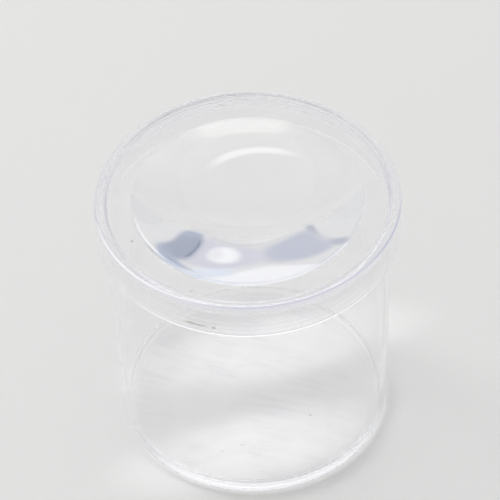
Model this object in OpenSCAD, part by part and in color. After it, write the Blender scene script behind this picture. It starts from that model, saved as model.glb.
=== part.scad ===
// Bug catcher jar: a round clear jar, and a lift-off lid that carries a magnifying lens.
// The origin is the centre of the foot, where the jar stands. +Z runs up through the lens.

/* [Jar] */
// Height of the jar, from the foot to the lip
jar_height = 61; // [40:0.5:90]
// Diameter of the jar at the lip, over the outside
mouth_diameter = 61.7; // [56:0.1:90]
// Diameter of the jar at the foot, over the outside
foot_diameter = 60.2; // [54:0.1:88]
// Thickness of the side wall
jar_wall = 1.3; // [0.9:0.05:2.5]
// Thickness of the floor
jar_floor = 1.5; // [1:0.05:3]
// Rounding of the outer corner at the foot
foot_round = 1.2; // [0.4:0.05:2]
// Rounding of the inner corner at the floor
floor_round = 1.6; // [0.5:0.05:3]
// Rounding of the lip's two corners
lip_round = 0.4; // [0.1:0.05:0.45]
// Width of the foot ring that the jar stands on, in from the outer corner's rounding
foot_ring = 1.6; // [0.8:0.1:5]
// Depth of the shallow recess inside the foot ring
foot_recess = 0.3; // [0.1:0.05:0.6]
// Diameter of the round gate mark in the middle of the underside
gate_diameter = 15; // [6:0.5:24]
// Depth of the gate mark above the recess
gate_depth = 0.25; // [0.1:0.05:0.5]

/* [Lid] */
// Gap between the jar's lip and the inside of the lid's skirt, on each side
lid_fit = 0.45; // [0.2:0.05:0.9]
// Thickness of the skirt
skirt_wall = 1.2; // [0.9:0.05:2.5]
// Depth of the skirt below the underside of the panel
skirt_depth = 6.2; // [3:0.1:12]
// Thickness of the panel that holds the lens
panel_thickness = 1.6; // [1:0.05:3]
// Height of the rim above the panel
rim_height = 0.9; // [0.4:0.05:3]
// Width of the rim across its top
rim_width = 2.1; // [1.2:0.05:4]
// Rounding of the lid's outer top edge
edge_round = 1.1; // [0.3:0.05:1.15]
// Rounding of the lid's small edges
small_round = 0.25; // [0.05:0.05:0.35]

/* [Lens] */
// Diameter of the magnifying lens
lens_diameter = 49.3; // [30:0.1:52]
// Gap round the lens in the panel's opening
lens_fit = 0.05; // [0.02:0.01:0.15]
// How far the upper face rises at its middle
lens_crown = 2.5; // [0.5:0.1:5]
// How far the lower face bulges at its middle
lens_belly = 6.4; // [3:0.1:8]

/* [Hidden] */
// Steps in a full turn
$fn = 180;
// Steps in the arc of one rounded corner
corner_steps = 6;
// How far a cut runs past the face that it leaves through
overrun = 1;

mouth_radius = mouth_diameter / 2;
foot_radius = foot_diameter / 2;
lens_radius = lens_diameter / 2;
opening_radius = lens_radius + lens_fit;
skirt_inner = mouth_radius + lid_fit;
skirt_outer = skirt_inner + skirt_wall;
rim_inner = skirt_outer - rim_width;
recess_radius = foot_radius - foot_round - foot_ring;
gate_radius = gate_diameter / 2;

// Largest share of a wall that one rounded corner may take
round_share = 0.45;
lip_corner = min(lip_round, jar_wall * round_share);
rim_corner = min(small_round, rim_height * round_share);
skirt_corner = min(small_round, skirt_wall * round_share);
edge_corner = min(edge_round, rim_width - 2 * rim_corner);

panel_under = jar_height;
panel_top = panel_under + panel_thickness;
rim_top = panel_top + rim_height;
skirt_bottom = panel_under - skirt_depth;

// Radius of the sphere whose cap is as high as `rise` over a circle of radius `half`
function cap_radius(half, rise) = (half * half + rise * rise) / (2 * rise);
belly_radius = cap_radius(lens_radius, lens_belly);
crown_radius = cap_radius(lens_radius, lens_crown);

// Length of a vector
function size_of(v) = sqrt(v * v);

// Points of the arc that rounds the corner `p` between its neighbours `a` and `b`
function corner_arc(a, p, b, radius) =
    let (
        to_a = (a - p) / size_of(a - p),
        to_b = (b - p) / size_of(b - p),
        half = acos(to_a * to_b) / 2,
        centre = p + (to_a + to_b) / size_of(to_a + to_b) * radius / sin(half),
        first = p + to_a * radius / tan(half) - centre,
        last = p + to_b * radius / tan(half) - centre,
        start = atan2(first.y, first.x),
        turn = atan2(last.y, last.x) - start,
        sweep = turn > 180 ? turn - 360 : turn < -180 ? turn + 360 : turn
    )
    [for (i = [0 : corner_steps])
        let (angle = start + sweep * i / corner_steps)
        centre + radius * [cos(angle), sin(angle)]];

// Outline of a section, whose corners are [distance from the axis, height, rounding]
function rounded_section(corners) =
    let (last = len(corners) - 1)
    [for (i = [0 : last])
        let (
            before = corners[i == 0 ? last : i - 1],
            here = corners[i],
            after = corners[i == last ? 0 : i + 1],
            p = [here[0], here[1]]
        )
        for (point = here[2] > 0
            ? corner_arc([before[0], before[1]], p, [after[0], after[1]], here[2])
            : [p]) point];

// A solid turned about the Z axis from a section with rounded corners
module turned(corners) {
    rotate_extrude()
        polygon(rounded_section(corners));
}

module jar_body() {
    color([0.84, 0.85, 0.9, 0.45])
        turned([
            [0, foot_recess + gate_depth, 0],
            [gate_radius, foot_recess + gate_depth, 0],
            [gate_radius, foot_recess, 0],
            [recess_radius, foot_recess, 0],
            [recess_radius + foot_recess, 0, 0],
            [foot_radius, 0, foot_round],
            [mouth_radius, jar_height, lip_corner],
            [mouth_radius - jar_wall, jar_height, lip_corner],
            [foot_radius - jar_wall, foot_recess + jar_floor, floor_round],
            [0, foot_recess + jar_floor, 0]
        ]);
}

module lid_cap() {
    color([0.82, 0.82, 0.9, 0.5])
        turned([
            [opening_radius, panel_under, 0],
            [skirt_inner, panel_under, skirt_corner],
            [skirt_inner, skirt_bottom, skirt_corner],
            [skirt_outer, skirt_bottom, skirt_corner],
            [skirt_outer, rim_top, edge_corner],
            [rim_inner, rim_top, rim_corner],
            [rim_inner, panel_top, rim_corner],
            [opening_radius, panel_top, 0]
        ]);
}

module magnifier_lens() {
    color([0.78, 0.84, 0.92, 0.5])
        intersection() {
            translate([0, 0, panel_under - lens_belly - overrun])
                cylinder(r = lens_radius, h = lens_belly + panel_thickness + lens_crown + 2 * overrun);
            translate([0, 0, panel_under - lens_belly + belly_radius])
                sphere(r = belly_radius);
            translate([0, 0, panel_top + lens_crown - crown_radius])
                sphere(r = crown_radius);
        }
}

jar_body();
lid_cap();
magnifier_lens();
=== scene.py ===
import math

import bpy
import numpy as np
from mathutils import Matrix, Vector


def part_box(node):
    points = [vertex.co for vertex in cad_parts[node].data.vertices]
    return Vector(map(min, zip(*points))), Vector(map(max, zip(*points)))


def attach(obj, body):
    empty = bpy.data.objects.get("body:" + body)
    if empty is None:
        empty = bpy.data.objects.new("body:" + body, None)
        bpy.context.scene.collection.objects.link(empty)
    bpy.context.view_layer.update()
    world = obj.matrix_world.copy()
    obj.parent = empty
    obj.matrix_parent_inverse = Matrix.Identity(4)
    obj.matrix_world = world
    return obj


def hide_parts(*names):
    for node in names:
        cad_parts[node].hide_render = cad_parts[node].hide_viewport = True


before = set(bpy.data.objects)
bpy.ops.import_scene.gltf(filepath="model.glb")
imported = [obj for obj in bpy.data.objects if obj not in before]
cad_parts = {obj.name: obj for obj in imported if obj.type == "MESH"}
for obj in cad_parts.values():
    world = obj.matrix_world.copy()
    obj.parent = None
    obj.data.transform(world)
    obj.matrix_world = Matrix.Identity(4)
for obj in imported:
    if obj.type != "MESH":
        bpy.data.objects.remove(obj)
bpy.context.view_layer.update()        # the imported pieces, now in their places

mm = 0.001
print("frame loaded:", ", ".join(sorted(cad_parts)))

jarLow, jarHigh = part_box("jar_body")
lidLow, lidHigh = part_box("lid_cap")
lensLow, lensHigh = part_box("magnifier_lens")


# Camera: distance and tilt as fitted to the lid's outline, in lid radii and radians
view = {
    "focalPixels": 2463.667,     # focal length in pixels of a 500 pixel wide frame
    "frameWidth": 500,
    "sensor": 36.0,
    "distance": 16.0,            # from the middle of the lid's rim, in lid radii
    "elevation": 0.7877,
    "roll": -0.0369,
    "aimX": 0.0027,              # where the camera looks, in lid radii from the rim's middle
    "aimZ": -0.5248,
    "nearClip": 0.01,
}


def makeCamera(look):
    lidRadius, rimTop = lidHigh.x, lidHigh.z
    reach = look["distance"] * lidRadius
    eye = Vector((0, -reach * math.cos(look["elevation"]), reach * math.sin(look["elevation"]) + rimTop))
    aim = Vector((look["aimX"] * lidRadius, 0, look["aimZ"] * lidRadius + rimTop))
    forward = (aim - eye).normalized()
    level = forward.cross(Vector((0, 0, 1))).normalized()
    upright = level.cross(forward)
    right = math.cos(look["roll"]) * level + math.sin(look["roll"]) * upright
    top = math.cos(look["roll"]) * upright - math.sin(look["roll"]) * level
    place = Matrix((right, top, -forward)).transposed().to_4x4()
    place.translation = eye
    lens = bpy.data.cameras.new("camera")
    lens.sensor_width = look["sensor"]
    lens.lens = look["sensor"] * look["focalPixels"] / look["frameWidth"]
    lens.clip_start = look["nearClip"]
    camera = bpy.data.objects.new("camera", lens)
    camera.matrix_world = place
    bpy.context.scene.collection.objects.link(camera)
    bpy.context.scene.camera = camera


makeCamera(view)
print("camera set")


# Surfaces turned about Z. A profile is an array of [distance from the axis, height] in metres,
# listed so that the outside lies on its right hand
turning = {
    "turnSteps": 720,            # faces in a full turn
    "cornerSteps": 12,           # faces in one rounded corner
    "hug": 0.06 * mm,            # distance of the rings that keep a flat wall flat beside a rounded corner
    "sameRadius": 0.0001 * mm,   # radii closer than this are one
    "sharpAngle": 30,            # degrees between two faces, from which their edge stays sharp
}


def roundCorner(before, corner, after, radius):
    # p(a) = centre + radius (cos a, sin a), with a from one tangent point to the other, and a hugging ring
    # outside each of the two
    toBefore = (before - corner) / np.linalg.norm(before - corner)
    toAfter = (after - corner) / np.linalg.norm(after - corner)
    half = math.acos(float(np.clip(toBefore @ toAfter, -1, 1))) / 2
    middle = (toBefore + toAfter) / np.linalg.norm(toBefore + toAfter)
    centre = corner + middle * radius / math.sin(half)
    first = corner + toBefore * radius / math.tan(half)
    last = corner + toAfter * radius / math.tan(half)
    start = math.atan2(*(first - centre)[::-1])
    sweep = (math.atan2(*(last - centre)[::-1]) - start + math.pi) % (2 * math.pi) - math.pi
    a = start + sweep * np.linspace(0, 1, turning["cornerSteps"] + 1)
    arc = centre + radius * np.stack([np.cos(a), np.sin(a)], axis=1)
    return np.vstack([first + toBefore * turning["hug"], arc, last + toAfter * turning["hug"]])


def roundedProfile(corners):
    # each corner is [distance from the axis, height, rounding]; a rounding of 0 keeps it sharp
    points = np.array([corner[:2] for corner in corners], float)
    runs = []
    for i, corner in enumerate(corners):
        if corner[2] > 0:
            runs.append(roundCorner(points[i - 1], points[i], points[(i + 1) % len(corners)], corner[2]))
        else:
            runs.append(points[i:i + 1])
    return np.vstack(runs)


def turnedMesh(name, profile, closed, bondRadius=None):
    # P(u, v) = (r(u) cos v, r(u) sin v, z(u)). An open profile starts and ends on the axis, where a fan of
    # triangles closes it; a closed one is a ring. Upright faces at the bond radius get the mark "bonded"
    steps = turning["turnSteps"]
    v = np.arange(steps) * 2 * math.pi / steps
    onAxis = profile[:, 0] < turning["sameRadius"]
    rings = profile[~onAxis]
    grid = np.stack([rings[:, :1] * np.cos(v), rings[:, :1] * np.sin(v), rings[:, 1:] + 0 * v], axis=2)
    points = grid.reshape(-1, 3)
    ringCount = len(rings)
    index = np.arange(ringCount * steps).reshape(ringCount, steps)
    turned = np.roll(index, -1, axis=1)
    following = np.roll(index, -1, axis=0) if closed else index[1:]
    lower = index if closed else index[:-1]
    lowerTurned = turned if closed else turned[:-1]
    followingTurned = np.roll(following, -1, axis=1)
    quads = np.stack([lower, lowerTurned, followingTurned, following], axis=2).reshape(-1, 4)
    fans = []
    if not closed:
        bottomPole, topPole = len(points), len(points) + 1
        points = np.vstack([points, [0, 0, profile[0, 1]], [0, 0, profile[-1, 1]]])
        fans = np.vstack([
            np.stack([np.full(steps, bottomPole), turned[0], index[0]], axis=1),
            np.stack([np.full(steps, topPole), index[-1], turned[-1]], axis=1),
        ])
    mesh = bpy.data.meshes.new(name)
    corners = np.concatenate([quads.ravel(), np.ravel(fans)]).astype(np.int32)
    sizes = np.concatenate([np.full(len(quads), 4), np.full(len(fans), 3)]).astype(np.int32)
    mesh.vertices.add(len(points))
    mesh.vertices.foreach_set("co", points.astype(np.float32).ravel())
    mesh.loops.add(len(corners))
    mesh.loops.foreach_set("vertex_index", corners)
    mesh.polygons.add(len(sizes))
    mesh.polygons.foreach_set("loop_start", (np.cumsum(sizes) - sizes).astype(np.int32))
    mesh.update(calc_edges=True)
    mesh.validate()
    mesh.shade_smooth()
    mesh.set_sharp_from_angle(angle=math.radians(turning["sharpAngle"]))
    if bondRadius is not None:
        there = np.abs(rings[:, 0] - bondRadius) < turning["sameRadius"]
        bonded = np.repeat(there & np.roll(there, -1), steps)[:len(quads)]
        mark = mesh.attributes.new("bonded", "FLOAT", "FACE")
        mark.data.foreach_set("value", np.concatenate([bonded, np.zeros(len(fans))]).astype(np.float32))
    return mesh


def addPiece(name, mesh, material, body, nodeName):
    mesh.materials.append(material)
    piece = bpy.data.objects.new(name, mesh)
    bpy.context.scene.collection.objects.link(piece)
    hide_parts(nodeName)
    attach(piece, body)


# Shader helpers and the effects that the plastics share
def put(tree, kind, **settings):
    made = tree.nodes.new(kind)
    for key, value in settings.items():
        setattr(made, key, value)
    return made


def feed(tree, socket, value):
    if isinstance(value, bpy.types.NodeSocket):
        tree.links.new(value, socket)
    else:
        socket.default_value = value


def maths(tree, operation, first, second=None):
    made = put(tree, "ShaderNodeMath", operation=operation)
    feed(tree, made.inputs[0], first)
    if second is not None:
        feed(tree, made.inputs[1], second)
    return made.outputs[0]


def product(tree, first, *others):
    for other in others:
        first = maths(tree, "MULTIPLY", first, other)
    return first


def restOf(tree, share):
    return maths(tree, "SUBTRACT", 1, share)


def atLeast(tree, count, limit):
    # 1 where a whole count has reached the limit, else 0
    halfCount = 0.5
    return maths(tree, "GREATER_THAN", count, limit - halfCount)


def dotOf(tree, first, second):
    made = put(tree, "ShaderNodeVectorMath", operation="DOT_PRODUCT")
    feed(tree, made.inputs[0], first)
    feed(tree, made.inputs[1], second)
    return made.outputs["Value"]


def easedRange(tree, value, low, high, smooth=True):
    # 0 at low, 1 at high, whichever is the larger
    made = put(tree, "ShaderNodeMapRange", interpolation_type="SMOOTHSTEP" if smooth else "LINEAR")
    feed(tree, made.inputs["Value"], value)
    feed(tree, made.inputs["From Min"], low)
    feed(tree, made.inputs["From Max"], high)
    return made.outputs[0]


def noiseOf(tree, vector, scale, detail):
    made = put(tree, "ShaderNodeTexNoise")
    feed(tree, made.inputs["Vector"], vector)
    feed(tree, made.inputs["Scale"], scale)
    made.inputs["Detail"].default_value = detail
    return made.outputs["Fac"]


def newGroup(name, vectors, floats, output):
    tree = bpy.data.node_groups.new(name, "ShaderNodeTree")
    for title in vectors:
        tree.interface.new_socket(title, in_out="INPUT", socket_type="NodeSocketVector")
    for title in floats:
        tree.interface.new_socket(title, in_out="INPUT", socket_type="NodeSocketFloat")
    tree.interface.new_socket(output, in_out="OUTPUT", socket_type="NodeSocketFloat")
    return tree, put(tree, "NodeGroupInput").outputs


def use(tree, group, **values):
    # places a group with its own values
    made = put(tree, "ShaderNodeGroup", node_tree=group)
    for title, value in values.items():
        feed(tree, made.inputs[title], value)
    return made.outputs[0]


marks = {
    "rubFade": 0.16,             # how far above its start a rub shows in full
    "rubPatches": 90,            # closeness of the patches in which rubs lie
    "rubPatchFrom": 0.36,        # noise at which a patch begins
    "rubPatchFull": 0.62,        # and at which it is full
    "scuffFull": 0.2,            # a scuff is full inside this share of its oval
}


def mouldWavesGroup():
    # height of a moulded face: broad sink marks plus a share of finer ripples
    tree, given = newGroup("mouldWaves", ["position"], ["broad", "fine", "fineShare"], "height")
    broad = noiseOf(tree, given["position"], given["broad"], detail=0)
    fine = noiseOf(tree, given["position"], given["fine"], detail=1)
    total = maths(tree, "ADD", broad, product(tree, fine, given["fineShare"]))
    tree.links.new(total, put(tree, "NodeGroupOutput").inputs["height"])
    return tree


def rubMarksGroup():
    # fine parallel rubs: noise drawn out along one direction, of which only the peaks above start stay
    tree, given = newGroup("rubMarks", ["position", "along"], ["closeness", "drawnOut", "start"], "mask")
    along = dotOf(tree, given["position"], given["along"])
    across = put(tree, "ShaderNodeVectorMath", operation="CROSS_PRODUCT")
    tree.links.new(given["along"], across.inputs[0])
    across.inputs[1].default_value = (0, 0, 1)
    place = put(tree, "ShaderNodeCombineXYZ")
    tree.links.new(maths(tree, "DIVIDE", along, given["drawnOut"]), place.inputs["X"])
    tree.links.new(dotOf(tree, given["position"], across.outputs["Vector"]), place.inputs["Y"])
    lines = noiseOf(tree, place.outputs["Vector"], given["closeness"], detail=2)
    peaks = easedRange(tree, lines, given["start"], maths(tree, "ADD", given["start"], marks["rubFade"]))
    spread = noiseOf(tree, given["position"], marks["rubPatches"], detail=1)
    patches = easedRange(tree, spread, marks["rubPatchFrom"], marks["rubPatchFull"])
    tree.links.new(product(tree, peaks, patches), put(tree, "NodeGroupOutput").inputs["mask"])
    return tree


def scuffGroup():
    # mask of one small mark: 1 in its middle and 0 from the oval (a / halfLength)^2 + (b / halfWidth)^2 = 1
    # on, with a the distance along it and b the distance off it
    tree, given = newGroup("scuff", ["position", "centre", "along"], ["halfLength", "halfWidth"], "mask")
    off = put(tree, "ShaderNodeVectorMath", operation="SUBTRACT")
    tree.links.new(given["position"], off.inputs[0])
    tree.links.new(given["centre"], off.inputs[1])
    a = dotOf(tree, off.outputs["Vector"], given["along"])
    square = dotOf(tree, off.outputs["Vector"], off.outputs["Vector"])
    rest = maths(tree, "SUBTRACT", square, product(tree, a, a))
    b = maths(tree, "SQRT", maths(tree, "MAXIMUM", rest, 0))
    alongShare = maths(tree, "ABSOLUTE", maths(tree, "DIVIDE", a, given["halfLength"]))
    offShare = maths(tree, "DIVIDE", b, given["halfWidth"])
    oval = maths(tree, "ADD", maths(tree, "POWER", alongShare, 2), maths(tree, "POWER", offShare, 2))
    inside = easedRange(tree, oval, 1, marks["scuffFull"])
    tree.links.new(inside, put(tree, "NodeGroupOutput").inputs["mask"])
    return tree


def edgeRingGroup():
    # mask of a thin ring: 1 on the circle (radius, height) and 0 from halfWidth off it. It is full on the
    # side that toward names and falls to 0 where the cosine to that side is spread
    tree, given = newGroup("edgeRing", ["position", "toward"],
                           ["radius", "height", "halfWidth", "spread"], "mask")
    flat = put(tree, "ShaderNodeVectorMath", operation="MULTIPLY")
    tree.links.new(given["position"], flat.inputs[0])
    flat.inputs[1].default_value = (1, 1, 0)
    radius = maths(tree, "SQRT", dotOf(tree, flat.outputs["Vector"], flat.outputs["Vector"]))
    height = dotOf(tree, given["position"], (0, 0, 1))

    def squareOff(value, title):
        return maths(tree, "POWER", maths(tree, "SUBTRACT", value, given[title]), 2)

    off = maths(tree, "SQRT", maths(tree, "ADD", squareOff(radius, "radius"), squareOff(height, "height")))
    ring = easedRange(tree, off, given["halfWidth"], 0)
    smallestRadius = 1 * mm      # keeps the axis itself from a division by zero
    cosine = maths(tree, "DIVIDE", dotOf(tree, flat.outputs["Vector"], given["toward"]),
                   maths(tree, "MAXIMUM", radius, smallestRadius))
    side = easedRange(tree, cosine, given["spread"], 1)
    tree.links.new(product(tree, ring, side), put(tree, "NodeGroupOutput").inputs["mask"])
    return tree


plastic = {
    "refraction": 1.59,
    "roughness": 0.0,            # of a face without rubs
    "rubsOn": (0.75, 0.95),      # how level a face is where rubs begin, and where they are full
    "paintedSideShadeOn": (0.3, 0.1),       # and how level it is where the painted shade of the upright sides begins and is full
    "scuffTint": (0.42, 0.39, 0.33),
    "shadowFace": 0.010,         # share of a lamp's light that one face holds back, seen square on
    "shadowEdge": 0.22,          # and seen along the face
    "shadowBlend": 0.3,
    "footShadow": 0.98,          # share that upright faces hold back at the foot, gone at footReach
    "footReach": 6 * mm,
    "footOn": (0.7, 0.2),        # how level a face is where that shadow begins, and where it is full
    "footSide": (0.35, -0.94, 0),  # the side of the jar that throws it
    "footShares": (-0.2, 0.6),   # where it begins and is full on the way to that side, in jar radii
    "deepestBounce": 9,          # from this bounce on light goes straight on, so that no wall ends in black
}
mouldWaves, rubMarks, scuff, edgeRing = mouldWavesGroup(), rubMarksGroup(), scuffGroup(), edgeRingGroup()


def onRing(tree, position, radius, height, halfWidth, toward, spread):
    return use(tree, edgeRing, position=position, toward=Vector(toward).normalized(),
               radius=radius * mm, height=height * mm, halfWidth=halfWidth * mm, spread=spread)


def plasticColour(tree, look, position, howLevel, rubbed):
    # clear, with painted shade on upright faces and painted shade lines along rounded edges, duller along
    # rubs, brown in scuffs
    # painted shade: upright faces are made darker
    layers = [(easedRange(tree, howLevel, *plastic["paintedSideShadeOn"]), look["paintedSideShade"]), (rubbed, look["rubTint"])]
    # painted shade: darker tinted lines along rounded edges, where refraction draws dark lines
    for *ring, tint in look["paintedEdgeShades"]:
        layers.append((onRing(tree, position, *ring), tint))
    for centre, along, halfLength, halfWidth in look["scuffs"]:
        mark = use(tree, scuff, position=position, centre=Vector(centre) * mm,
                   along=Vector(along).normalized(), halfLength=halfLength * mm, halfWidth=halfWidth * mm)
        layers.append((mark, plastic["scuffTint"]))
    colour = put(tree, "ShaderNodeRGB").outputs[0]
    colour.default_value = (*look["tint"], 1)
    for mask, tint in layers:
        mix = put(tree, "ShaderNodeMix", data_type="RGBA")
        feed(tree, mix.inputs["Factor"], mask)
        feed(tree, mix.inputs["A"], colour)
        mix.inputs["B"].default_value = (*tint, 1)
        colour = mix.outputs["Result"]
    return colour


def paintedHighlightEmission(tree, look, position):
    # painted highlights: emission in thin rings along edges, in place of the bright lines there
    glow = 0
    for *ring, power in look["paintedEdgeHighlights"]:
        glow = maths(tree, "ADD", glow, product(tree, onRing(tree, position, *ring), power))
    return glow


def mouldRelief(tree, look, position):
    relief = put(tree, "ShaderNodeBump")
    wave = use(tree, mouldWaves, position=position, broad=look["waveBroad"], fine=look["waveFine"],
               fineShare=look["waveFineShare"])
    feed(tree, relief.inputs["Height"], wave)
    relief.inputs["Strength"].default_value = 1
    relief.inputs["Distance"].default_value = look["waveHeight"]
    return relief.outputs["Normal"]


def solidShare(tree, look, position, howLevel):
    # lamps pass through the faces, apart from what each face holds back
    path = put(tree, "ShaderNodeLightPath")
    facing = put(tree, "ShaderNodeLayerWeight")
    facing.inputs["Blend"].default_value = plastic["shadowBlend"]
    held = put(tree, "ShaderNodeMapRange")
    held.inputs["To Min"].default_value = plastic["shadowFace"]
    held.inputs["To Max"].default_value = plastic["shadowEdge"]
    feed(tree, held.inputs["Value"], facing.outputs["Facing"])
    lit = maths(tree, "MAXIMUM", path.outputs["Is Shadow Ray"], path.outputs["Is Diffuse Ray"])
    low = easedRange(tree, dotOf(tree, position, (0, 0, 1)), plastic["footReach"], 0)
    upright = easedRange(tree, howLevel, *plastic["footOn"])
    sideStart, sideFull = (share * jarHigh.x for share in plastic["footShares"])
    onSide = easedRange(tree, dotOf(tree, position, plastic["footSide"]), sideStart, sideFull)
    atFoot = product(tree, low, plastic["footShadow"], upright, onSide)
    passing = product(tree, lit, restOf(tree, maths(tree, "MAXIMUM", held.outputs[0], atFoot)))

    # light that has gone far inside, or meets a bonded face or a soft edge, goes straight on
    deep = atLeast(tree, path.outputs["Ray Depth"], plastic["deepestBounce"])
    mirrored = atLeast(tree, path.outputs["Glossy Depth"], look["mostMirrored"])
    free = maths(tree, "MAXIMUM", passing, maths(tree, "MAXIMUM", deep, mirrored))
    bonded = put(tree, "ShaderNodeAttribute", attribute_name="bonded").outputs["Fac"]
    solid = product(tree, restOf(tree, free), restOf(tree, bonded))
    for *ring, share in look["edgeSoft"]:
        solid = product(tree, solid, restOf(tree, product(tree, onRing(tree, position, *ring), share)))
    return solid


def clearPlastic(name, look):
    material = bpy.data.materials.new(name)
    material.use_nodes = True
    tree = material.node_tree
    shader = tree.nodes["Principled BSDF"]
    shader.inputs["IOR"].default_value = plastic["refraction"]
    shader.inputs["Transmission Weight"].default_value = 1
    own = put(tree, "ShaderNodeTexCoord").outputs
    position = own["Object"]
    howLevel = maths(tree, "ABSOLUTE", dotOf(tree, own["Normal"], (0, 0, 1)))
    rubbed = use(tree, rubMarks, position=position, along=look["rubAlong"], closeness=look["rubCloseness"],
                 drawnOut=look["rubDrawnOut"], start=look["rubStart"])
    rubbed = product(tree, rubbed, easedRange(tree, howLevel, *plastic["rubsOn"]))
    roughness = maths(tree, "ADD", product(tree, rubbed, look["rubRoughness"]), plastic["roughness"])
    feed(tree, shader.inputs["Base Color"], plasticColour(tree, look, position, howLevel, rubbed))
    feed(tree, shader.inputs["Roughness"], roughness)
    feed(tree, shader.inputs["Normal"], mouldRelief(tree, look, position))
    feed(tree, shader.inputs["Alpha"], solidShare(tree, look, position, howLevel))
    # painted highlights: the edge rings give off light of their own
    if look["paintedEdgeHighlights"]:
        feed(tree, shader.inputs["Emission Color"], paintedHighlightEmission(tree, look, position))
        shader.inputs["Emission Strength"].default_value = 1
    inside = put(tree, "ShaderNodeVolumeAbsorption")
    inside.inputs["Color"].default_value = (*look["depthTone"], 1)
    inside.inputs["Density"].default_value = look["depthDensity"]
    feed(tree, tree.nodes["Material Output"].inputs["Volume"], inside.outputs[0])
    return material


print("shader groups made")


# Smallest cosine of an edge ring that runs all the way round: so far below -1 that its mask hardly changes
allRound = -9


# Jar: a cup with a foot ring, a shallow recess and a gate mark
jar = {
    "footRadius": 30.1 * mm,
    "wall": 1.3 * mm,
    "floor": 1.5 * mm,
    "footRound": 1.2 * mm,
    "floorRound": 2.4 * mm,
    "lipRound": 0.4 * mm,
    "footRing": 1.6 * mm,
    "recess": 0.3 * mm,
    "recessSlope": 2.6 * mm,     # width of the slope that leads into the recess
    "gateRadius": 7.5 * mm,
    "gateDepth": 0.25 * mm,
    "gateSlope": 1.8 * mm,
    "softRound": 6 * mm,         # rounding where those slopes begin and end
    "lipGap": 0.03 * mm,         # hair of air between the lip and the lid that rests on it
    "tint": (0.997, 0.997, 0.998),
    "depthTone": (0.50, 0.50, 0.68),
    "depthDensity": 7,
    "mostMirrored": 2,           # after so many mirrorings inside, light goes straight on
    "waveBroad": 70, "waveFine": 300, "waveFineShare": 0.02, "waveHeight": 0.03 * mm,
    "rubAlong": (0.94, -0.33, 0), "rubCloseness": 3600, "rubDrawnOut": 60, "rubStart": 0.48,
    "rubRoughness": 0.05, "rubTint": (0.84, 0.84, 0.88),
    # each scuff is [centre, direction, half length, half width] in millimetres
    "scuffs": [
        [(12.3, -9.1, 1.8), (1, 0, 0), 0.35, 0.30],
        [(-7.5, -18.6, 1.8), (1, 0.2, 0), 0.45, 0.12],
        [(-3.2, -17.0, 1.8), (1, -0.3, 0), 0.80, 0.10],
    ],
    # each painted edge highlight, painted edge shade or soft edge is [radius, height, half width, side,
    # smallest cosine, last value], with lengths in millimetres. The last value is a painted highlight's
    # power, a painted shade's tint, or the share of light that goes straight on at a soft edge
    # painted highlights: bright lines at the far floor corner and along the near foot
    "paintedEdgeHighlights": [
        [28.6, 3.15, 0.55, (0, 1, 0), -0.75, 0.11],
        [30.1, 2.1, 0.28, (0.1, -1, 0), 0.55, 0.12],
    ],
    # painted shade lines along the lip, the inner floor corner and the foot
    "paintedEdgeShades": [
        [30.2, 60.9, 0.60, (0, 1, 0), allRound, (0.94, 0.94, 0.96)],
        [28.9, 2.1, 1.20, (0, -1, 0), -0.4, (0.81, 0.82, 0.86)],
        [30.12, 2.95, 0.75, (0, -1, 0), -0.5, (0.87, 0.87, 0.90)],
        [30.05, 1.15, 0.60, (0, -1, 0), -0.6, (0.82, 0.82, 0.86)],
    ],
    "edgeSoft": [
        [29.4, 1.2, 2.8, (0, 1, 0), -0.9, 0.85],
    ],
    # painted shade of the upright faces
    "paintedSideShade": (0.996, 0.996, 0.996),
}


def jarPiece(size):
    mouth, lip, foot = jarHigh.x, jarHigh.z - size["lipGap"], size["footRadius"]
    recessRadius = foot - size["footRound"] - size["footRing"]
    profile = roundedProfile([
        [0, size["recess"] + size["gateDepth"], 0],
        [size["gateRadius"] - size["gateSlope"] / 2, size["recess"] + size["gateDepth"], size["softRound"]],
        [size["gateRadius"] + size["gateSlope"] / 2, size["recess"], size["softRound"]],
        [recessRadius - size["recessSlope"], size["recess"], size["softRound"]],
        [recessRadius, 0, size["softRound"] / 2],
        [foot, 0, size["footRound"]],
        [mouth, lip, size["lipRound"]],
        [mouth - size["wall"], lip, size["lipRound"]],
        [foot - size["wall"], size["recess"] + size["floor"], size["floorRound"]],
        [0, size["recess"] + size["floor"], 0],
    ])
    mesh = turnedMesh("jar_shell", profile, closed=False)
    addPiece("jar_shell", mesh, clearPlastic("jarPlastic", size), "jar", "jar_body")


jarPiece(jar)
print("jar made")


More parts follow.
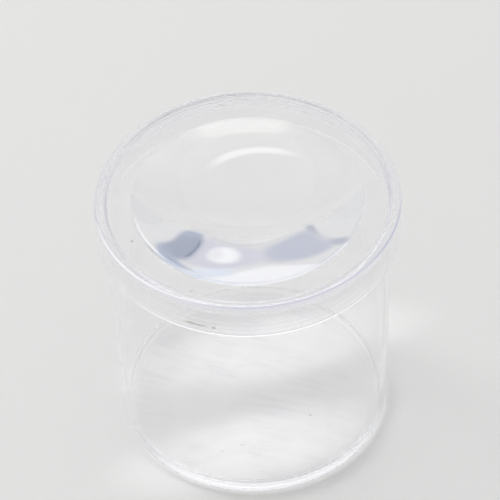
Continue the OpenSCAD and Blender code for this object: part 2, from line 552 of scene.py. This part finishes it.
# Lid: a ring with a low rim, a flat panel and a skirt
lid = {
    "fit": 0.45 * mm,
    "skirtWall": 1.2 * mm,
    "panel": 1.6 * mm,
    "rimWidth": 2.1 * mm,
    "edgeRound": 1.1 * mm,
    "rimRound": 0.50 * mm,
    "rimFoot": 0.12 * mm,
    "smallRound": 0.25 * mm,
    "openingGap": 0.01 * mm,     # between the panel and the lens
    "tint": (0.997, 0.997, 0.999),
    "depthTone": (0.50, 0.48, 0.72),
    "depthDensity": 7,
    "mostMirrored": 3,
    "waveBroad": 60, "waveFine": 300, "waveFineShare": 0.02, "waveHeight": 0.03 * mm,
    "rubAlong": (0.97, 0.26, 0), "rubCloseness": 1300, "rubDrawnOut": 40, "rubStart": 0.60,
    "rubRoughness": 0.04, "rubTint": (0.88, 0.88, 0.90),
    "scuffs": [
        [(-12.6, -29.9, 57.1), (0.92, -0.35, 0), 1.7, 0.36],
        [(-10.6, -30.7, 57.0), (0.94, -0.31, -0.05), 1.8, 0.28],
        [(-7.9, -31.5, 56.9), (1, -0.2, 0), 0.60, 0.36],
        [(-24.4, -11.6, 62.6), (1, 0.4, 0), 0.45, 0.22],
        [(-4.8, 28.7, 62.6), (1, -0.6, 0), 0.80, 0.14],
        [(-12.1, -26.3, 62.6), (1, -0.1, 0), 0.45, 0.14],
        [(-23.2, 21.9, 63.5), (0.6, 0.8, 0), 0.40, 0.16],
    ],
    # painted highlight: a bright line along the bottom of the skirt
    "paintedEdgeHighlights": [[32.38, 54.92, 0.30, (0.02, -1, 0), 0.35, 1.3]],
    # painted shade lines along the rim, the bottom of the skirt and the panel round the lens
    "paintedEdgeShades": [
        [32.18, 63.18, 0.55, (-1, 0, 0), allRound, (0.92, 0.92, 0.95)],
        [30.40, 63.50, 0.40, (0, 1, 0), allRound, (0.92, 0.92, 0.95)],
        [30.40, 62.62, 0.30, (-1, 0, 0), -1.5, (0.93, 0.93, 0.97)],
        [32.45, 55.50, 0.25, (0, -1, 0), allRound, (0.93, 0.93, 0.96)],
        [24.98, 62.60, 0.32, (0, -1, 0), -0.2, (0.84, 0.87, 0.93)],
    ],
    "edgeSoft": [],
    # painted shade of the upright faces
    "paintedSideShade": (0.98, 0.98, 0.985),
}


def lidPiece(size):
    outer, rimTop, skirtBottom = lidHigh.x, lidHigh.z, lidLow.z
    inner, under = outer - size["skirtWall"], jarHigh.z
    opening = lensHigh.x + size["openingGap"]
    panelTop, rimInner = under + size["panel"], outer - size["rimWidth"]
    small = size["smallRound"]
    profile = roundedProfile([
        [opening, under, 0],
        [inner, under, small],
        [inner, skirtBottom, small],
        [outer, skirtBottom, small],
        [outer, rimTop, size["edgeRound"]],
        [rimInner, rimTop, size["rimRound"]],
        [rimInner, panelTop, size["rimFoot"]],
        [opening, panelTop, 0],
    ])
    mesh = turnedMesh("lid_ring", profile, closed=True, bondRadius=opening)
    addPiece("lid_ring", mesh, clearPlastic("lidPlastic", size), "lid", "lid_cap")


lidPiece(lid)
print("lid made")


# Lens: a disc whose two faces are parts of spheres
lens = {
    "faceRings": 60,
    "tint": (0.998, 0.998, 0.999),
    "depthTone": (0.50, 0.53, 0.62),
    "depthDensity": 2.5,
    "mostMirrored": 4,
    "waveBroad": 55, "waveFine": 260, "waveFineShare": 0.02, "waveHeight": 0.008 * mm,
    "rubAlong": (0.94, 0.34, 0), "rubCloseness": 900, "rubDrawnOut": 60, "rubStart": 0.66,
    "rubRoughness": 0.03, "rubTint": (0.88, 0.88, 0.90),
    "scuffs": [],
    # painted highlight: a white line along the left edge of the lens
    "paintedEdgeHighlights": [[24.35, 62.67, 0.30, (-0.80, -0.60, 0), 0.86, 0.22]],
    # painted shade: darker lines along the lower edge of the lens
    "paintedEdgeShades": [
        [24.62, 62.62, 0.26, (-0.1, -1, 0), 0.1, (0.80, 0.84, 0.94)],
        [24.45, 62.64, 0.45, (0.75, -0.65, 0), 0.80, (0.80, 0.82, 0.89)],
    ],
    "edgeSoft": [],
    # painted shade of the upright faces
    "paintedSideShade": (0.99, 0.99, 0.99),
}


def lensPiece(size):
    # a face is z(r) = rise - (R - sqrt(R^2 - r^2)), where R = (edge^2 + rise^2) / (2 rise)
    edge, bottom, top = lensHigh.x, lensLow.z, lensHigh.z
    r = edge * np.linspace(0, 1, size["faceRings"])
    faces = []
    for rise in (jarHigh.z - bottom, top - jarHigh.z - lid["panel"]):
        sphere = (edge ** 2 + rise ** 2) / (2 * rise)
        faces.append(sphere - np.sqrt(sphere ** 2 - r ** 2))
    belly = np.stack([r, bottom + faces[0]], axis=1)
    crown = np.stack([r, top - faces[1]], axis=1)[::-1]
    mesh = turnedMesh("lens_disc", np.vstack([belly, crown]), closed=False, bondRadius=edge)
    addPiece("lens_disc", mesh, clearPlastic("lensPlastic", size), "lid", "magnifier_lens")


lensPiece(lens)
print("lens made")


# Floor, world and softboxes. A direction is [degrees right of straight away from the camera, degrees up]
studio = {
    "floorHalf": 3.0,
    "floorDrop": 0.05 * mm,
    "floorColour": (0.770, 0.770, 0.764, 1),
    "floorRoughness": 0.7,
    "plainLight": (0.80, 0.80, 0.80, 1),
    "worldStrength": 1.0,
    "hiddenMirrorings": 1,       # light that was mirrored so often sees no softbox
    "fullMirrorings": 3,         # and light mirrored so often, as inside the lens, sees them in full
    "stripsEnd": 3,              # ray depth that sees no strip; the ray that leaves the crown has 2
}

# Each softbox or flag has its half width and half height as tangents, its power from round to square,
# the width of its soft edge as a share of its size, how far it is turned anticlockwise, in degrees, and
# how far its two ends bow down, as a tangent
softboxes = {
    "ceiling": {
        "toward": (-80, 82), "size": (0.54, 0.54), "square": 2, "soft": 0.06, "turned": 0, "bow": 0,
        "colour": (0.97, 0.97, 0.99, 1),
    },
    "blueCeiling": {
        "toward": (34, 61), "size": (0.16, 0.10), "square": 2, "soft": 0.60, "turned": 0, "bow": 0,
        "colour": (0.79, 0.84, 0.94, 1),
    },
    "farWall": {
        "toward": (-34, 46), "size": (0.42, 0.115), "square": 3, "soft": 0.30, "turned": 27, "bow": 0.02,
        "colour": (0.56, 0.58, 0.68, 1),
    },
    "cardEdge": {
        "toward": (15, 50.5), "size": (0.43, 0.150), "square": 2.5, "soft": 0.16, "turned": -5, "bow": 0,
        "colour": (0.69, 0.69, 0.77, 1),
    },
    "whiteCard": {
        "toward": (22, 48.6), "size": (0.230, 0.114), "square": 2, "soft": 0.16, "turned": -24, "bow": 0,
        "colour": (1.00, 1.00, 1.02, 1),
    },
    "cardMiddle": {
        "toward": (29, 50.5), "size": (0.075, 0.028), "square": 2, "soft": 0.70, "turned": -24, "bow": 0,
        "colour": (0.83, 0.83, 0.87, 1),
    },
    "darkFlag": {
        "toward": (53.5, 37), "size": (0.085, 0.175), "square": 2.5, "soft": 0.35, "turned": 30, "bow": 0,
        "colour": (0.37, 0.41, 0.51, 1),
    },
    "flagSeam": {
        "toward": (47, 43.2), "size": (0.025, 0.018), "square": 2, "soft": 0.80, "turned": 30, "bow": 0,
        "colour": (0.25, 0.30, 0.40, 1),
    },
    "edgeFlag": {
        "toward": (57, 44), "size": (0.042, 0.24), "square": 2, "soft": 0.60, "turned": 17, "bow": 0,
        "colour": (0.42, 0.47, 0.59, 1),
    },
    "sideFlag": {
        "toward": (-61.5, 35.5), "size": (0.055, 0.07), "square": 2, "soft": 0.50, "turned": 20, "bow": 0,
        "colour": (0.52, 0.54, 0.61, 1),
    },
}

# Softboxes that show only as a first reflection, on the crown of the lens
strips = {
    "highStrip": {
        "toward": (-0.5, 23.5), "size": (0.105, 0.050), "square": 5, "soft": 0.25, "turned": -4,
        "bow": -0.010, "colour": (1.95, 1.90, 1.80, 1),
    },
    "lowStrip": {
        "toward": (0.5, 32.8), "size": (0.105, 0.018), "square": 4, "soft": 0.40, "turned": -14,
        "bow": -0.035, "colour": (2.7, 2.7, 2.7, 1),
    },
}


def softPatchGroup():
    # mask = 1 inside |x / w|^p + |y / h|^p < 1, where x and y are a direction's places on a plane square to
    # toward, y first rises by bow (x / w)^2, and soft is the width of the soft edge
    tree, given = newGroup("softPatch", ["direction", "toward", "across", "upward"],
                           ["halfWidth", "halfHeight", "square", "soft", "bow"], "mask")
    leastAhead = 0.05            # keeps directions square to toward and behind it out of the division
    ahead = maths(tree, "MAXIMUM", dotOf(tree, given["direction"], given["toward"]), leastAhead)

    def share(axis, half, raised=0):
        place = maths(tree, "DIVIDE", dotOf(tree, given["direction"], given[axis]), ahead)
        return maths(tree, "DIVIDE", maths(tree, "ADD", place, raised), given[half])

    x = share("across", "halfWidth")
    y = share("upward", "halfHeight", product(tree, given["bow"], product(tree, x, x)))
    terms = [maths(tree, "POWER", maths(tree, "ABSOLUTE", place), given["square"]) for place in (x, y)]
    reach = maths(tree, "POWER", maths(tree, "ADD", *terms), maths(tree, "DIVIDE", 1, given["square"]))
    inside = easedRange(tree, reach, maths(tree, "ADD", 1, given["soft"]), restOf(tree, given["soft"]))
    tree.links.new(inside, put(tree, "NodeGroupOutput").inputs["mask"])
    return tree


def withPatches(tree, light, direction, group, patches, shown):
    # lays each softbox over the light that comes before it
    for name, patch in patches.items():
        around, up = (math.radians(angle) for angle in patch["toward"])
        toward = Vector((math.cos(up) * math.sin(around), math.cos(up) * math.cos(around), math.sin(up)))
        level = Vector((math.cos(around), -math.sin(around), 0))
        turned = math.radians(patch["turned"])
        across = level * math.cos(turned) + level.cross(toward) * math.sin(turned)
        halfWidth, halfHeight = patch["size"]
        mask = use(tree, group, direction=direction, toward=toward, across=across,
                   upward=across.cross(toward), halfWidth=halfWidth, halfHeight=halfHeight,
                   square=patch["square"], soft=patch["soft"], bow=patch["bow"])
        mix = put(tree, "ShaderNodeMix", data_type="RGBA", name=name)
        feed(tree, mix.inputs["Factor"], product(tree, mask, shown))
        feed(tree, mix.inputs["A"], light)
        mix.inputs["B"].default_value = patch["colour"]
        light = mix.outputs["Result"]
    return light


def makeWorld(room):
    world = bpy.data.worlds.new("studio")
    bpy.context.scene.world = world
    world.use_nodes = True
    tree = world.node_tree
    direction = put(tree, "ShaderNodeTexCoord").outputs["Generated"]
    path = put(tree, "ShaderNodeLightPath")
    group = softPatchGroup()
    plain = put(tree, "ShaderNodeRGB").outputs[0]
    plain.default_value = room["plainLight"]
    mirrored = easedRange(tree, path.outputs["Glossy Depth"], room["hiddenMirrorings"],
                          room["fullMirrorings"], smooth=False)
    light = withPatches(tree, plain, direction, group, softboxes, mirrored)
    first = product(tree, path.outputs["Is Glossy Ray"],
                    restOf(tree, atLeast(tree, path.outputs["Ray Depth"], room["stripsEnd"])))
    light = withPatches(tree, light, direction, group, strips, first)
    seen = put(tree, "ShaderNodeMix", data_type="RGBA")
    feed(tree, seen.inputs["Factor"], path.outputs["Is Camera Ray"])
    feed(tree, seen.inputs["A"], light)
    feed(tree, seen.inputs["B"], plain)
    background = tree.nodes["Background"]
    feed(tree, background.inputs["Color"], seen.outputs["Result"])
    background.inputs["Strength"].default_value = room["worldStrength"]


def makeFloor(room):
    half, drop = room["floorHalf"], room["floorDrop"]
    mesh = bpy.data.meshes.new("floor")
    corners = [(-half, -half, -drop), (half, -half, -drop), (half, half, -drop), (-half, half, -drop)]
    mesh.from_pydata(corners, [], [(0, 1, 2, 3)])
    floor = bpy.data.objects.new("floor", mesh)
    bpy.context.scene.collection.objects.link(floor)
    paper = bpy.data.materials.new("paper")
    paper.use_nodes = True
    shader = paper.node_tree.nodes["Principled BSDF"]
    shader.inputs["Base Color"].default_value = room["floorColour"]
    shader.inputs["Roughness"].default_value = room["floorRoughness"]
    mesh.materials.append(paper)


# Lamps: a key, and two spots for the light that the lens and the panel gather on the jar's floor
lamps = {
    "key": {"place": (-0.75, 0.60, 1.0), "aim": (0, 0, 0.02), "across": 0.35, "power": 4.8},
    "poolHeight": 0.052,         # of the spots above the paper
    "poolLampRadius": 2 * mm,
    "poolSoftness": 0.9,
    "pools": {
        "farPool": {"middle": (0.005, 0.013), "half": (0.045, 0.012), "turned": 13, "power": 0.034},
        "nearPool": {"middle": (0.000, -0.017), "half": (0.040, 0.0125), "turned": 13, "power": 0.037},
    },
}


def makeLamp(name, kind, place, aim, power, **settings):
    # a lamp that lights surfaces but isn't seen in the plastic
    lamp = bpy.data.lights.new(name, kind)
    lamp.energy = power
    for key, value in settings.items():
        setattr(lamp, key, value)
    holder = bpy.data.objects.new(name, lamp)
    holder.matrix_world = (Vector(aim) - Vector(place)).to_track_quat("-Z", "Y").to_matrix().to_4x4()
    holder.location = place
    holder.visible_glossy = False
    holder.visible_transmission = False
    bpy.context.scene.collection.objects.link(holder)
    return holder


def makePool(name, pool):
    # a spot straight above the floor, inside the jar, drawn out to an oval
    above = lamps["poolHeight"]
    holder = makeLamp(name, "SPOT", (*pool["middle"], above), (*pool["middle"], 0), pool["power"],
                      shadow_soft_size=lamps["poolLampRadius"], spot_blend=lamps["poolSoftness"])
    holder.visible_camera = False
    holder.data.spot_size = 2 * math.atan(pool["half"][1] / above)
    holder.rotation_euler = (0, 0, math.radians(pool["turned"]))
    holder.scale = (pool["half"][0] / pool["half"][1], 1, 1)


makeFloor(studio)
makeWorld(studio)
key = lamps["key"]
makeLamp("key", "AREA", key["place"], key["aim"], key["power"], size=key["across"])
for name, pool in lamps["pools"].items():
    makePool(name, pool)
print("studio made")

bpy.context.scene.view_settings.view_transform = "Standard"
